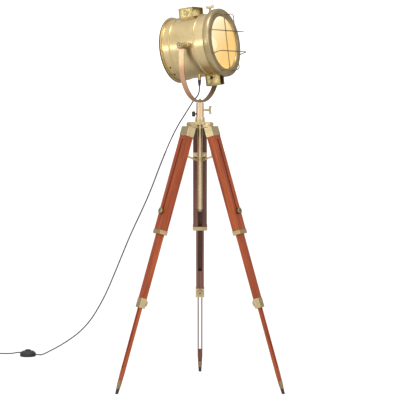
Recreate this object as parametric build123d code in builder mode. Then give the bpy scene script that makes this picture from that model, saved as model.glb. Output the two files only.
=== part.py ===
from build123d import *
import math
import os

# Searchlight floor lamp on a folding wooden tripod, in millimetres.
# +Z is up, the floor is Z = 0, and the origin is the floor point under the pole.
# +X is to the lamp's right, and -Y is the side it is usually seen from.

# Tripod legs: each hangs from a hinge on the hub and leans outward.
LEGS = {"rear": 90, "left": 210, "right": 330}
HINGE_RADIUS = 42
HINGE_HEIGHT = 975
LEG_LEAN = 17.5

# Leg sections, measured along the leg from its hinge.
UPPER_WIDTH, UPPER_DEPTH = 52, 28
UPPER_INNER, UPPER_OUTER = -12.5, 15.5
UPPER_MIDDLE = (0, (UPPER_INNER + UPPER_OUTER) / 2)
UPPER_START, UPPER_END = 14, 421
CHANNEL_WIDTH, CHANNEL_DEPTH, CHANNEL_START = 30.6, 20.6, 60
OUTER_SLOT, INNER_SLOT = 8, 20
OUTER_SLOT_END = 346
MID_WIDTH, MID_DEPTH = 30, 20
MID_START, MID_END = 325, 697
GROOVE_WIDTH, GROOVE_DEPTH, GROOVE_START = 19.6, 10.1, 347
GROOVE_MOUTH, GROOVE_MOUTH_END = 15, 590
LOWER_WIDTH, LOWER_DEPTH = 19, 9.5
LOWER_START, LOWER_TAPER, LOWER_END = 610, 950, 974
RAIL_SLOT = 9.5
RAIL_SLOT_START, RAIL_SLOT_END = 640, 926
SLEEVE_END = 1001
UPPER_KNOB_AT, LOWER_KNOB_AT = 337, 679
SKIN = 1.5

# Column, pole and spreader.
POLE_RADIUS = 9
POLE_BORE = 9.06
POLE_BOTTOM = 661
COLUMN_TOP = 1055
SET_KNOB_HEIGHT, WING_HEIGHT = 1013, 1028
COLLAR_HEIGHT, COLLAR_PIN_RADIUS = 844, 17
BRACKET_HEIGHT, BRACKET_PIN_RADIUS = 858, 56

# Yoke and drum.
PAN = 28.8
DRUM_TILT = 7.35
YOKE_BOTTOM = 1056
YOKE_RADIUS = 140.75
STRAP, STRAP_WIDTH = 3.5, 20
PIVOT_HEIGHT = 1262
DRUM_RADIUS, SHEET = 113, 1.5
DRUM_BACK, DRUM_FRONT = -101, 91
BEADS = (-67, 35)
STUD_RADIUS = 3.95

# Power cord: its radius, and the points that its centre line runs past.
CORD = 2.5
SWITCH = (-716, 752)
SWITCH_AIM = (0.8, -0.6)
SWITCH_REACH = 41
COIL = (-885, 846)
COIL_RADIUS = 27.5
CORD_HEIGHT = 12

os.makedirs("parts", exist_ok=True)


def save(piece, name):
    piece.part.label = name
    export_step(piece.part, f"parts/{name}.step")


def leg_plane(azimuth):
    """The plane at a leg's hinge: x across the leg, y out of its outer face, z down the leg."""
    turn = math.radians(azimuth)
    lean = math.radians(LEG_LEAN)
    hinge = (HINGE_RADIUS * math.cos(turn), HINGE_RADIUS * math.sin(turn), HINGE_HEIGHT)
    down = (math.sin(lean) * math.cos(turn), math.sin(lean) * math.sin(turn), -math.cos(lean))
    return Plane(origin=hinge, x_dir=(-math.sin(turn), math.cos(turn), 0), z_dir=down)


def side_plane(azimuth):
    """The upright plane through the pole at an azimuth: x outward, y up."""
    turn = math.radians(azimuth)
    outward = (math.cos(turn), math.sin(turn), 0)
    return Plane(origin=(0, 0, 0), x_dir=outward, z_dir=(math.sin(turn), -math.cos(turn), 0))


def profile_plane(plane):
    """The plane through a leg's middle, seen from its side: x down the leg, y inward."""
    return Plane(origin=plane.origin, x_dir=plane.z_dir, z_dir=plane.x_dir)


def face_plane(plane, along, out):
    """A plane on a leg's outer side, at a distance along it and out from its middle."""
    origin = plane.origin + plane.z_dir * along + plane.y_dir * out
    return Plane(origin=origin, x_dir=plane.x_dir, z_dir=plane.y_dir)


def knob(plane, radius, height):
    """A turned knob on a plane, added to the part that is being built."""
    with BuildSketch(plane) as outline:
        Circle(radius)
    head = extrude(outline.sketch, amount=height)
    fillet(head.edges().filter_by(GeomType.CIRCLE), 1.5)


def pin(plane, radius, length, both=False):
    """A round bar on a plane, added to the part that is being built."""
    with BuildSketch(plane) as outline:
        Circle(radius)
    extrude(outline.sketch, amount=length, both=both)


# ---- Hub: hinge plate, clamping collar and column tube in one casting ----

with BuildPart() as hub:
    with BuildSketch(Plane.XY.offset(HINGE_HEIGHT - 1)):
        Circle(32)
    extrude(amount=10)
    with BuildSketch(Plane.XY.offset(984)):
        Circle(17.5)
    extrude(amount=17)
    with BuildSketch(Plane.XY.offset(1001)):
        Circle(14)
    extrude(amount=COLUMN_TOP - 1001)
    for azimuth in LEGS.values():
        side = side_plane(azimuth)
        for near in (7.9, -12.9):
            with BuildSketch(side.offset(near)):
                with Locations((HINGE_RADIUS, HINGE_HEIGHT)):
                    Circle(8.5)
                with Locations((HINGE_RADIUS - 11, HINGE_HEIGHT)):
                    Rectangle(22, 17)
            extrude(amount=5)
        hinge = Plane(origin=leg_plane(azimuth).origin, z_dir=side.z_dir)
        pin(hinge, 3, 13, both=True)
        pin(hinge.offset(12.9), 5, 3)
        pin(hinge.offset(-12.9), 5, -3)
    with BuildSketch(Plane.XY.offset(HINGE_HEIGHT - 12)):
        Circle(POLE_BORE)
    extrude(amount=100, mode=Mode.SUBTRACT)
    with BuildSketch(Plane(origin=(0, 0, SET_KNOB_HEIGHT), z_dir=(-1, 0, 0))):
        Circle(2.55)
    extrude(amount=20, mode=Mode.SUBTRACT)
    with BuildSketch(Plane(origin=(0, 0, WING_HEIGHT), z_dir=(1, 0, 0))):
        Circle(3.05)
    extrude(amount=20, mode=Mode.SUBTRACT)
save(hub, "hub")


# ---- Legs ----

def leg_cap(plane):
    with BuildPart() as cap:
        with BuildSketch(plane.offset(12)):
            with Locations(UPPER_MIDDLE):
                RectangleRounded(UPPER_WIDTH + 4, UPPER_DEPTH + 4, 2.5)
        extrude(amount=35.5)
        with BuildSketch(plane.offset(UPPER_START)):
            with Locations(UPPER_MIDDLE):
                Rectangle(UPPER_WIDTH, UPPER_DEPTH)
        extrude(amount=40, mode=Mode.SUBTRACT)
        with BuildSketch(profile_plane(plane)):
            Circle(8.5)
            with Locations((6.5, 0)):
                Rectangle(13, 17)
        extrude(amount=7.6, both=True)
        with BuildSketch(profile_plane(plane)):
            Circle(3.05)
        extrude(amount=10, both=True, mode=Mode.SUBTRACT)
    return cap


def leg_upper(plane):
    """Two staves joined at the top and by an outer block at the bottom."""
    inner_wall = (UPPER_INNER - CHANNEL_DEPTH / 2) / 2
    outer_wall = (UPPER_OUTER + CHANNEL_DEPTH / 2) / 2
    with BuildPart() as upper:
        with BuildSketch(plane.offset(UPPER_START)):
            with Locations(UPPER_MIDDLE):
                Rectangle(UPPER_WIDTH, UPPER_DEPTH)
        extrude(amount=UPPER_END - UPPER_START)
        with BuildSketch(plane.offset(CHANNEL_START)):
            Rectangle(CHANNEL_WIDTH, CHANNEL_DEPTH)
            with Locations((0, inner_wall)):
                Rectangle(INNER_SLOT, 5)
        extrude(amount=UPPER_END, mode=Mode.SUBTRACT)
        with BuildSketch(plane.offset(CHANNEL_START)):
            with Locations((0, outer_wall)):
                Rectangle(OUTER_SLOT, 7)
        extrude(amount=OUTER_SLOT_END - CHANNEL_START, mode=Mode.SUBTRACT)
    return upper


def leg_fittings(plane, azimuth):
    """The band round the foot of the staves, and the spreader's bracket on their inner face."""
    side = side_plane(azimuth)
    offset = Vector(BRACKET_PIN_RADIUS - HINGE_RADIUS, BRACKET_HEIGHT - HINGE_HEIGHT)
    lean = math.radians(LEG_LEAN)
    along = offset.X * math.sin(lean) - offset.Y * math.cos(lean)
    inward = -(offset.X * math.cos(lean) + offset.Y * math.sin(lean))
    half = -UPPER_INNER
    with BuildPart() as fittings:
        with BuildSketch(plane.offset(UPPER_END - 15)):
            with Locations(UPPER_MIDDLE):
                RectangleRounded(UPPER_WIDTH + 2 * SKIN, UPPER_DEPTH + 2 * SKIN, 1.4)
                Rectangle(UPPER_WIDTH, UPPER_DEPTH, mode=Mode.SUBTRACT)
        extrude(amount=15)
        with BuildSketch(profile_plane(plane)):
            with Locations((along, half + 0.5)):
                Rectangle(18, 1)
        extrude(amount=UPPER_WIDTH / 2, both=True)
        for near in (2.4, -5.4):
            with BuildSketch(profile_plane(plane).offset(near)):
                with Locations((along, inward)):
                    Circle(4.5)
                with Locations((along, (half + inward) / 2)):
                    Rectangle(9, inward - half)
            extrude(amount=3)
        axis_point = side.from_local_coords((BRACKET_PIN_RADIUS, BRACKET_HEIGHT, 0))
        pin_plane = Plane(origin=axis_point, z_dir=side.z_dir)
        pin(pin_plane.offset(4), 3, 3)
        pin(pin_plane.offset(-4), 3, -3)
        for across in (-15, 15):
            screw = face_plane(plane, along, -half - 1).origin + plane.x_dir * across
            pin(Plane(origin=screw, z_dir=-plane.y_dir), 5.75, 1.6)
    return fittings


def leg_mid(plane):
    wall = (MID_DEPTH + GROOVE_DEPTH) / 4
    with BuildPart() as mid:
        with BuildSketch(plane.offset(MID_START)):
            RectangleRounded(MID_WIDTH, MID_DEPTH, 1)
        extrude(amount=MID_END - MID_START)
        with BuildSketch(plane.offset(GROOVE_START)):
            Rectangle(GROOVE_WIDTH, GROOVE_DEPTH)
        extrude(amount=MID_END, mode=Mode.SUBTRACT)
        with BuildSketch(plane.offset(GROOVE_START)):
            with Locations((0, -wall)):
                Rectangle(GROOVE_MOUTH, 5)
        extrude(amount=GROOVE_MOUTH_END - GROOVE_START, mode=Mode.SUBTRACT)
        with BuildSketch(face_plane(plane, UPPER_KNOB_AT, 0)):
            Circle(3.05)
        extrude(amount=20, both=True, mode=Mode.SUBTRACT)
        with BuildSketch(face_plane(plane, LOWER_KNOB_AT, 0)):
            Circle(2.55)
        extrude(amount=-20, mode=Mode.SUBTRACT)
    return mid


def mid_ferrule(plane):
    with BuildPart() as ferrule:
        with BuildSketch(plane.offset(LOWER_KNOB_AT - 16)):
            RectangleRounded(MID_WIDTH + 2 * SKIN, MID_DEPTH + 2 * SKIN, 2)
            RectangleRounded(MID_WIDTH, MID_DEPTH, 1, mode=Mode.SUBTRACT)
        extrude(amount=36)
        with BuildSketch(face_plane(plane, LOWER_KNOB_AT, 0)):
            Circle(2.55)
        extrude(amount=-20, mode=Mode.SUBTRACT)
    return ferrule


def leg_lower(plane):
    with BuildPart() as lower:
        with BuildSketch(plane.offset(LOWER_START)):
            Rectangle(LOWER_WIDTH, LOWER_DEPTH)
        extrude(amount=LOWER_TAPER - LOWER_START)
        with BuildSketch(plane.offset(LOWER_TAPER)):
            Rectangle(LOWER_WIDTH, LOWER_DEPTH)
        with BuildSketch(plane.offset(LOWER_END)):
            Rectangle(LOWER_WIDTH - 3.5, LOWER_DEPTH)
        loft()
        with BuildSketch(plane.offset(RAIL_SLOT_START)):
            Rectangle(RAIL_SLOT, LOWER_DEPTH + 2)
        extrude(amount=RAIL_SLOT_END - RAIL_SLOT_START, mode=Mode.SUBTRACT)
    return lower


def leg_foot(plane):
    """A brass sleeve and a rubber tip, cut level with the floor."""
    with BuildPart() as foot:
        with BuildSketch(plane.offset(LOWER_END)):
            Circle(8.4)
        with BuildSketch(plane.offset(SLEEVE_END)):
            Circle(6.8)
        loft()
        with BuildSketch(plane.offset(SLEEVE_END)):
            Circle(6.4)
        with BuildSketch(plane.offset(SLEEVE_END + 30)):
            Circle(5)
        loft()
        split(bisect_by=Plane.XY, keep=Keep.TOP)
    return foot


def upper_knob(plane):
    """The outer knob, its bolt through the slot and the middle leg, and the bolt's head."""
    start = UPPER_OUTER + 3.4
    back = MID_DEPTH / 2 + 0.2
    with BuildPart() as piece:
        knob(face_plane(plane, UPPER_KNOB_AT, start), 12, 10)
        pin(face_plane(plane, UPPER_KNOB_AT, start + 1), 3, -(start + 2 + back))
        pin(face_plane(plane, UPPER_KNOB_AT, start + 1), 7, -4)
        pin(face_plane(plane, UPPER_KNOB_AT, -back), 7, -2.7)
    return piece


def lower_knob(plane):
    """The inner knob, whose screw presses the lower leg in its groove."""
    start = MID_DEPTH / 2 + SKIN + 0.4
    with BuildPart() as piece:
        knob(face_plane(plane, LOWER_KNOB_AT, -start - 8), 12, 8)
        pin(face_plane(plane, LOWER_KNOB_AT, -start - 9.5), 3.2, 3)
        pin(face_plane(plane, LOWER_KNOB_AT, -start - 1), 2.5, start + 1 - LOWER_DEPTH / 2 - 0.5)
    return piece


def spreader_arm(azimuth):
    """A flat link, hinged on the sliding collar; its outer eye lies free in the bracket."""
    inner = Vector(COLLAR_PIN_RADIUS, COLLAR_HEIGHT)
    outer = Vector(BRACKET_PIN_RADIUS, BRACKET_HEIGHT)
    span = outer - inner
    middle = (inner + outer) / 2
    slope = math.degrees(math.atan2(span.Y, span.X))
    with BuildPart() as arm:
        with BuildSketch(side_plane(azimuth)):
            with Locations((middle.X, middle.Y)):
                SlotCenterToCenter(span.length, 6.5, rotation=slope)
            with Locations((inner.X, inner.Y)):
                Circle(1.55, mode=Mode.SUBTRACT)
        extrude(amount=2, both=True)
    return arm


for side_name, leg_azimuth in LEGS.items():
    leg = leg_plane(leg_azimuth)
    save(leg_cap(leg), f"leg_cap_{side_name}")
    save(leg_upper(leg), f"leg_upper_{side_name}")
    save(leg_fittings(leg, leg_azimuth), f"leg_fittings_{side_name}")
    save(leg_mid(leg), f"leg_mid_{side_name}")
    save(mid_ferrule(leg), f"mid_ferrule_{side_name}")
    save(leg_lower(leg), f"leg_lower_{side_name}")
    save(leg_foot(leg), f"leg_foot_{side_name}")
    save(upper_knob(leg), f"upper_knob_{side_name}")
    save(lower_knob(leg), f"lower_knob_{side_name}")
    save(spreader_arm(leg_azimuth), f"spreader_arm_{side_name}")


# ---- Pole, spreader collar and column screws ----

with BuildPart() as pole:
    with BuildSketch(Plane.XY.offset(POLE_BOTTOM)):
        Circle(POLE_RADIUS)
    extrude(amount=YOKE_BOTTOM - 0.3 - POLE_BOTTOM)
    with BuildSketch(Plane.XY.offset(YOKE_BOTTOM - 1)):
        Circle(4)
    extrude(amount=9)
save(pole, "pole")

with BuildPart() as yoke_nut:
    with BuildSketch(Plane.XY.offset(YOKE_BOTTOM + STRAP + 0.6)):
        RegularPolygon(6.5, 6, major_radius=False)
    extrude(amount=5)
    with BuildSketch(Plane.XY.offset(YOKE_BOTTOM + STRAP + 5.6)):
        Circle(6)
    extrude(amount=4, taper=25)
    with BuildSketch(Plane.XY.offset(YOKE_BOTTOM + STRAP)):
        Circle(4)
    extrude(amount=YOKE_BOTTOM + 8 - YOKE_BOTTOM - STRAP, mode=Mode.SUBTRACT)
save(yoke_nut, "yoke_nut")

with BuildPart() as collar:
    with BuildSketch(Plane.XY.offset(COLLAR_HEIGHT - 6)):
        Circle(13)
    extrude(amount=12)
    for azimuth in LEGS.values():
        side = side_plane(azimuth)
        for near in (2.3, -4.8):
            with BuildSketch(side.offset(near)):
                with Locations((COLLAR_PIN_RADIUS, COLLAR_HEIGHT)):
                    Circle(3.8)
                with Locations((COLLAR_PIN_RADIUS - 3, COLLAR_HEIGHT)):
                    Rectangle(6, 7.6)
            extrude(amount=2.5)
        at = side.from_local_coords((COLLAR_PIN_RADIUS, COLLAR_HEIGHT, 0))
        pin(Plane(origin=at, z_dir=side.z_dir), 1.5, 5.8, both=True)
    with BuildSketch(Plane.XY.offset(COLLAR_HEIGHT - 10)):
        Circle(POLE_BORE)
    extrude(amount=20, mode=Mode.SUBTRACT)
save(collar, "spreader_collar")


def wing_screw(plane, across):
    """A wing screw on a plane: thread inward, waisted boss and a flat wing along a direction."""
    wing_plane = Plane(origin=plane.origin + plane.z_dir * 18, x_dir=across, z_dir=plane.z_dir)
    with BuildPart() as screw:
        pin(plane.offset(-5), 3, 14)
        with BuildSketch(plane.offset(8)):
            Circle(5.5)
        with BuildSketch(plane.offset(13)):
            Circle(3.8)
        with BuildSketch(plane.offset(18.5)):
            Circle(5.5)
        loft(ruled=True)
        with BuildSketch(wing_plane):
            SlotOverall(31, 7)
        extrude(amount=11)
    return screw


column_wing = wing_screw(Plane(origin=(15, 0, WING_HEIGHT), z_dir=(1, 0, 0)), (0, 0, 1))
save(column_wing, "column_wing_screw")

with BuildPart() as set_knob:
    knob(Plane(origin=(-17, 0, SET_KNOB_HEIGHT), z_dir=(-1, 0, 0)), 10, 13)
    pin(Plane(origin=(-9.6, 0, SET_KNOB_HEIGHT), z_dir=(-1, 0, 0)), 2.5, 9)
save(set_knob, "column_set_knob")


# ---- Yoke ----

facing = math.radians(PAN)
rise = math.radians(DRUM_TILT)
ACROSS = Vector(math.sin(facing), math.cos(facing), 0)
LEVEL = Vector(math.cos(facing), -math.sin(facing), 0)
FORWARD = LEVEL * math.cos(rise) + Vector(0, 0, math.sin(rise))
PIVOT = Vector(0, 0, PIVOT_HEIGHT)
arc_height = YOKE_BOTTOM + YOKE_RADIUS
inner_radius = YOKE_RADIUS - STRAP

with BuildPart() as yoke:
    with BuildSketch(Plane(origin=(0, 0, 0), x_dir=ACROSS, z_dir=LEVEL)):
        with Locations((0, arc_height)):
            Circle(YOKE_RADIUS)
        with Locations((0, (arc_height + PIVOT_HEIGHT) / 2)):
            Rectangle(2 * YOKE_RADIUS, PIVOT_HEIGHT - arc_height)
        with Locations((0, arc_height)):
            Circle(inner_radius, mode=Mode.SUBTRACT)
        with Locations((0, PIVOT_HEIGHT + 50)):
            Rectangle(2 * inner_radius, 2 * (PIVOT_HEIGHT + 50 - arc_height), mode=Mode.SUBTRACT)
        with Locations((0, PIVOT_HEIGHT + 50)):
            Rectangle(2 * YOKE_RADIUS + 2, 100, mode=Mode.SUBTRACT)
    extrude(amount=STRAP_WIDTH / 2, both=True)
    for hand in (1, -1):
        end = Plane(origin=PIVOT + ACROSS * hand * inner_radius, z_dir=ACROSS * hand)
        with BuildSketch(end):
            Circle(STRAP_WIDTH / 2)
        extrude(amount=STRAP)
        with BuildSketch(end.offset(-1)):
            Circle(4)
        extrude(amount=STRAP + 2, mode=Mode.SUBTRACT)
    with BuildSketch(Plane.XY.offset(YOKE_BOTTOM - 2)):
        Circle(4.05)
    extrude(amount=STRAP + 6, mode=Mode.SUBTRACT)
save(yoke, "yoke")


# ---- Drum: sheet shell with its covers, hoods, glass and optics ----

UPWARD = FORWARD.cross(ACROSS)
drum_axis = Axis(PIVOT, FORWARD)
section = Plane(origin=PIVOT, x_dir=FORWARD, z_dir=-ACROSS)
drum_plane = Plane(origin=PIVOT, x_dir=ACROSS, z_dir=FORWARD)


def turned(points):
    """Revolves a closed outline of (axial, radial) points about the drum's axis."""
    with BuildSketch(section) as outline:
        with BuildLine():
            Polyline(*points, close=True)
        make_face()
    revolve(outline.sketch, axis=drum_axis)


def drum_point(across, up, forward):
    return PIVOT + ACROSS * across + UPWARD * up + FORWARD * forward


with BuildPart() as drum_shell:
    outer, inner = DRUM_RADIUS, DRUM_RADIUS - SHEET
    turned([(DRUM_BACK, inner), (DRUM_BACK, outer), (DRUM_FRONT, outer), (DRUM_FRONT, inner)])
    for bead in BEADS:
        with BuildSketch(section):
            with Locations((bead, outer - 0.2)):
                Circle(3)
            with Locations((bead, inner - 10)):
                Rectangle(8, 20, mode=Mode.SUBTRACT)
        revolve(axis=drum_axis)
    for hand in (1, -1):
        pin(Plane(origin=drum_point(hand * (outer - 1), 0, 0), z_dir=ACROSS * hand), 10, 24.9)
        pin(Plane(origin=drum_point(hand * (outer + 1), 0, 0), z_dir=ACROSS * hand), STUD_RADIUS, 36)
    with BuildSketch(Plane(origin=drum_point(0, outer - 10, 59), z_dir=UPWARD)):
        Circle(3.05)
    extrude(amount=20, mode=Mode.SUBTRACT)
save(drum_shell, "drum_shell")

with BuildPart() as back_cover:
    rim = [(-97, 113), (-97, 119), (-99, 121.5), (-103, 121.5), (-106, 118)]
    dome = [(-110, 95), (-114, 60), (-116, 0), (-114, 0), (-112, 59)]
    turned(rim + dome + [(-108.2, 92), (-104, 108), (DRUM_BACK, 110), (DRUM_BACK, 113)])
save(back_cover, "back_cover")

with BuildPart() as front_ring:
    collar_side = [(78, 113), (79, 123), (83, 125.5), (98, 125.5), (103, 122.5)]
    bezel = [(105, 101), (102, 96), (97, 96), (97, 101), (101, 101), (102, 103), (100.5, 120)]
    turned(collar_side + bezel + [(97, 123), (84, 123), (81.5, 121), (81.5, 113)])
save(front_ring, "front_ring")

with BuildPart() as lens_glass:
    turned([(94, 0), (94, 110.8), (97, 110.8), (97, 0)])
save(lens_glass, "lens_glass")

with BuildPart() as reflector:
    with BuildSketch(section):
        with BuildLine():
            ThreePointArc((-12, 22), (30, 72), (DRUM_FRONT, 95))
            ThreePointArc((-13.5, 23), (28, 73.5), (DRUM_FRONT, 96.7))
            Line((-12, 22), (-13.5, 23))
            Line((DRUM_FRONT, 95), (DRUM_FRONT, 96.7))
        make_face()
    revolve(axis=drum_axis)
    turned([(DRUM_FRONT, 95), (DRUM_FRONT, 110.8), (93, 110.8), (93, 95)])
save(reflector, "reflector")

with BuildPart() as lamp_holder:
    turned([(-113.5, 0), (-113.5, 6), (-60, 6), (-60, 19), (-14, 19), (-14, 0)])
save(lamp_holder, "lamp_holder")

with BuildPart() as bulb:
    with BuildSketch(section):
        with BuildLine():
            neck = Line((-14, 13), (0, 13))
            side_curve = Spline((0, 13), (18, 24), (36, 30), tangents=((1, 0), (1, 0)))
            crown = RadiusArc((36, 30), (66, 0), 30)
            Polyline((66, 0), (-14, 0), (-14, 13))
        make_face()
    revolve(axis=drum_axis)
save(bulb, "bulb")


def cage_wire(start, near, far, end):
    """One guard wire: up from the ring, across in front of the glass and back."""
    with BuildLine() as path:
        FilletPolyline(start, near, far, end, radius=10)
    with BuildSketch(Plane(origin=path.line @ 0, z_dir=path.line % 0)) as wire:
        Circle(1.75)
    sweep(wire.sketch, path=path.line)


with BuildPart() as cage:
    for place in (-37, 37):
        foot = place * 44 / 37
        cage_wire(
            drum_point(-106, foot, 103), drum_point(-105, place, 136),
            drum_point(105, place, 136), drum_point(106, foot, 103),
        )
        cage_wire(
            drum_point(place, 104, 103), drum_point(place, 102, 132.6),
            drum_point(place, -102, 132.6), drum_point(place, -104, 103),
        )
save(cage, "cage")


def hood(back, front, half_width, top, foot, hand):
    """A sheet hood, open at its back and front; hand is 1 above the drum and -1 below it."""
    length = front - back
    start = Plane(origin=drum_point(0, 0, back), x_dir=ACROSS, z_dir=FORWARD)
    with BuildPart() as cover:
        with BuildSketch(start):
            with Locations((0, hand * (top + foot) / 2)):
                Rectangle(2 * half_width, top - foot)
            with Locations((0, hand * ((top + foot) / 2 - SHEET))):
                Rectangle(2 * (half_width - SHEET), top - foot, mode=Mode.SUBTRACT)
            Circle(DRUM_RADIUS, mode=Mode.SUBTRACT)
        extrude(amount=length)
    return cover


with BuildPart() as vent_top:
    add(hood(-51, 8, 41, 145, 104, 1).part)
    pin(Plane(origin=drum_point(-40.9, 126, -21), z_dir=-ACROSS), 11, 3)
save(vent_top, "vent_top")

with BuildPart() as vent_bottom:
    add(hood(16, 76, 16.5, 151, 111, -1).part)
    with BuildSketch(Plane(origin=drum_point(-10, -122, 42), z_dir=-ACROSS)):
        Circle(5)
    extrude(amount=10, mode=Mode.SUBTRACT)
    with BuildSketch(drum_plane.offset(BEADS[1] - 3.5)):
        Circle(DRUM_RADIUS + 3.1)
    extrude(amount=7, mode=Mode.SUBTRACT)
save(vent_bottom, "vent_bottom")

with BuildPart() as drum_screws:
    for turn_down in (53.2, 34.8):
        a = math.radians(turn_down)
        out = -ACROSS * math.sin(a) - UPWARD * math.cos(a)
        pin(Plane(origin=PIVOT + FORWARD * -85 + out * DRUM_RADIUS, z_dir=out), 3.25, 2.2)
    with BuildSketch(drum_plane.offset(-90)):
        Circle(DRUM_RADIUS)
    extrude(amount=10, mode=Mode.SUBTRACT)
save(drum_screws, "drum_screws")

ring_wing = wing_screw(Plane(origin=drum_point(0, 114, 59), z_dir=UPWARD), FORWARD)
save(ring_wing, "ring_wing_screw")

for side_name, hand in (("far", 1), ("near", -1)):
    with BuildPart() as tilt_knob:
        seat = Plane(origin=drum_point(hand * (YOKE_RADIUS + 0.3), 0, 0), z_dir=ACROSS * hand)
        knob(seat, 13, 14)
        with BuildSketch(seat):
            Circle(4)
        extrude(amount=10, mode=Mode.SUBTRACT)
    save(tilt_knob, f"tilt_knob_{side_name}")

with BuildPart() as gland:
    stub = Plane(origin=(-2, -39, 1165), z_dir=(0, 0, -1))
    pin(stub, 6, 27)
    with BuildSketch(stub.offset(27)):
        Circle(6.5)
    relief = extrude(amount=18)
    fillet(relief.edges().filter_by(GeomType.CIRCLE).sort_by(Axis.Z)[0], 1.5)
    with BuildSketch(drum_plane.offset(-60)):
        Circle(DRUM_RADIUS)
    extrude(amount=120, mode=Mode.SUBTRACT)
save(gland, "gland")


# ---- Power cord: straight runs joined by arcs as large as the runs allow ----

def corner_radii(points):
    radii = []
    for before, here, after in zip(points, points[1:], points[2:]):
        run_in, run_out = Vector(here) - Vector(before), Vector(after) - Vector(here)
        half_turn = math.radians(run_in.get_angle(run_out)) / 2
        radii.append(0.45 * min(run_in.length, run_out.length) / math.tan(half_turn))
    return radii


def cord_tube(points):
    radii = corner_radii(points)
    print("radii", [round(r) for r in radii])
    with BuildPart() as tube:
        with BuildLine() as route:
            FilletPolyline(*points, radius=radii)
        with BuildSketch(Plane(origin=route.line @ 0, z_dir=route.line % 0)):
            Circle(CORD)
        sweep(path=route.line)
    length = route.wire().length
    print("length", round(length, 1), "volume", round(tube.part.volume / (math.pi * CORD**2 * length), 4))
    return tube


# From the gland down into the yoke and over the strap's back edge.
over_strap = (-18, -15.25, 1069)
to_strap = [(-2, -39, 1120), (-2, -39, 1104), (-4.5, -34, 1087), (-12, -24, 1075.5), over_strap]

# Past the strap and down beside the column.
beside_column = (-96, 69, 943.5)
past_strap = [
    over_strap, (-24, -6.5, 1062.5), (-31, 0, 1051), (-41, 10, 1035),
    (-58, 28, 1008), (-82, 54, 971), beside_column,
]

def beside_switch(reach):
    """A point on the line through the switch's two cord entries."""
    return (SWITCH[0] + reach * SWITCH_AIM[0], SWITCH[1] + reach * SWITCH_AIM[1], CORD_HEIGHT)


# Down behind the left leg to the foot switch on the floor.
to_switch = [
    beside_column, (-110, 84, 916), (-134, 110, 859), (-155, 132, 807), (-176, 155, 751),
    (-199, 179, 695), (-222, 203, 644), (-249, 231, 587), (-272, 255, 537), (-295, 280, 482),
    (-318, 304, 426), (-341, 329, 371), (-365, 356, 315), (-393, 385, 260), (-425, 419, 206),
    (-457, 452, 164), (-496, 491, 125), (-537, 534, 93), (-576, 577, 65), (-611, 617, 43),
    (-638, 655, 25), (-655, 688, 15), beside_switch(SWITCH_REACH + 20), beside_switch(SWITCH_REACH),
]

# From the switch along the floor to the coil.
coil_row = COIL[1] - COIL_RADIUS - CORD
to_coil = [
    beside_switch(-SWITCH_REACH), beside_switch(-SWITCH_REACH - 14), (-774, 793.5, 8), (-793, 803, 4),
    (-816, 811, 2.6), (-840, coil_row, CORD), (COIL[0] + 24, coil_row, CORD),
]

save(cord_tube(to_strap), "cord_upper")
save(cord_tube(past_strap), "cord_bridge")
save(cord_tube(to_switch), "cord_long")
save(cord_tube(to_coil), "cord_floor")

with BuildPart() as cord_coil:
    with BuildSketch(Plane(origin=(*COIL, 0), x_dir=(1, 0, 0), z_dir=(0, -1, 0))):
        with Locations((COIL_RADIUS, 2 * CORD)):
            RectangleRounded(4 * CORD, 4 * CORD, 2)
    revolve(axis=Axis((*COIL, 0), (0, 0, 1)))
    pin(Plane(origin=(COIL[0], coil_row, CORD), z_dir=(1, 0, 0)), CORD, 24)
    pin(Plane(origin=(COIL[0] - COIL_RADIUS - CORD, COIL[1], CORD), z_dir=(0, 1, 0)), CORD, 24)
save(cord_coil, "cord_coil")

with BuildPart() as plug:
    tail = Plane(origin=(COIL[0] - COIL_RADIUS - CORD, COIL[1] + 24, 0), x_dir=(-1, 0, 0), z_dir=(0, 1, 0))
    with BuildSketch(tail):
        with Locations((0, CORD)):
            Circle(CORD)
    with BuildSketch(tail.offset(20)):
        with Locations((0, 7)):
            Ellipse(8, 6)
    loft()
    with BuildSketch(tail.offset(20)):
        with Locations((0, 7)):
            RectangleRounded(26, 14, 6)
    extrude(amount=26)
    with BuildSketch(tail.offset(46)):
        with Locations((-9.5, 7), (9.5, 7)):
            Circle(2.3)
    extrude(amount=19)
save(plug, "plug")


# ---- Foot switch ----

with BuildPart() as switch_case:
    with BuildSketch(Plane(origin=(*SWITCH, 0), x_dir=(1, 0, 0), z_dir=(0, -1, 0))):
        with BuildLine():
            Polyline((12, 24), (12, 10), (0, 10), (0, 0), (31, 0), (33, 3), (33, 10))
            Spline((33, 10), (26, 20), (12, 24), tangents=((0, 1), (-1, 0.15)))
        make_face()
    revolve(axis=Axis((*SWITCH, 0), (0, 0, 1)))
    for hand in (1, -1):
        aim = Vector(*SWITCH_AIM, 0) * hand
        pin(Plane(origin=Vector(*SWITCH, CORD_HEIGHT) + aim * 27, z_dir=aim), 4.5, SWITCH_REACH - 27)
    with BuildSketch(Plane.XY.offset(10)):
        with Locations(SWITCH):
            Circle(12)
    extrude(amount=30, mode=Mode.SUBTRACT)
save(switch_case, "switch_case")

with BuildPart() as switch_button:
    with BuildSketch(Plane.XY.offset(14)):
        with Locations(SWITCH):
            Circle(11.95)
    cap = extrude(amount=15)
    fillet(cap.edges().filter_by(GeomType.CIRCLE).sort_by(Axis.Z)[-1], 3)
save(switch_button, "switch_button")
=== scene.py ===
import math
import bmesh
import bpy
from mathutils import Matrix, Vector


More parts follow.
